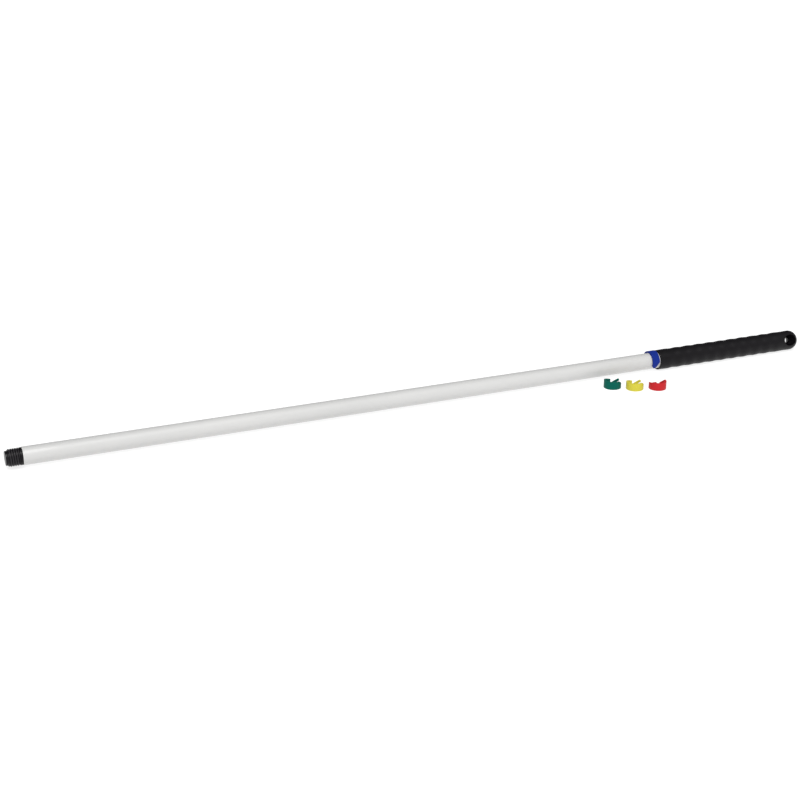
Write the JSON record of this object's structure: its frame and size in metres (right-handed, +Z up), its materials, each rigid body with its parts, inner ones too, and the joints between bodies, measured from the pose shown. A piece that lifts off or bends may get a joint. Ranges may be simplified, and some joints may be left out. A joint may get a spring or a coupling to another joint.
{
  "type": "tool handle",
  "caption": "Long one-piece coated aluminium tool handle with a threaded screw-fit end, a ringed hand grip with a hang hole, and push-fit colour clips.",
  "frame": {"origin": "centre of the threaded end's flat face, on the pole's axis", "axes": "+X along the pole from the threaded end to the hang hole, +Z up; the spare clips stand on the -Y side"},
  "size_m": [1.25, 0.099, 0.0309],
  "materials": {
    "coated_aluminium": "smooth satin white coating on aluminium tube",
    "thread_plastic": "black moulded plastic, slight sheen on the thread",
    "grip_plastic": "black moulded plastic, satin",
    "clip_blue_plastic": "blue moulded plastic, semi-gloss",
    "clip_green_plastic": "green moulded plastic, semi-gloss",
    "clip_yellow_plastic": "yellow moulded plastic, semi-gloss",
    "clip_red_plastic": "red moulded plastic, semi-gloss"
  },
  "bodies": {
    "pole": {"pole_tube": "coated_aluminium", "threaded_end": "thread_plastic", "hand_grip": "grip_plastic"},
    "blue_clip": {"colour_clip_blue": "clip_blue_plastic"},
    "green_clip": {"spare_clip_green": "clip_green_plastic"},
    "yellow_clip": {"spare_clip_yellow": "clip_yellow_plastic"},
    "red_clip": {"spare_clip_red": "clip_red_plastic"}
  },
  "joints": [
    {"name": "blue_clip_turn", "type": "hinge", "parent": "pole", "child": "blue_clip", "pos_m": [0.984, 0, 0], "axis": [1, 0, 0], "continuous": true},
    {"name": "green_clip_lift", "type": "slide", "parent": "pole", "child": "green_clip", "axis": [0, 0, 1], "range_m": [0, 0.06]},
    {"name": "yellow_clip_lift", "type": "slide", "parent": "pole", "child": "yellow_clip", "axis": [0, 0, 1], "range_m": [0, 0.06]},
    {"name": "red_clip_lift", "type": "slide", "parent": "pole", "child": "red_clip", "axis": [0, 0, 1], "range_m": [0, 0.06]}
  ]
}
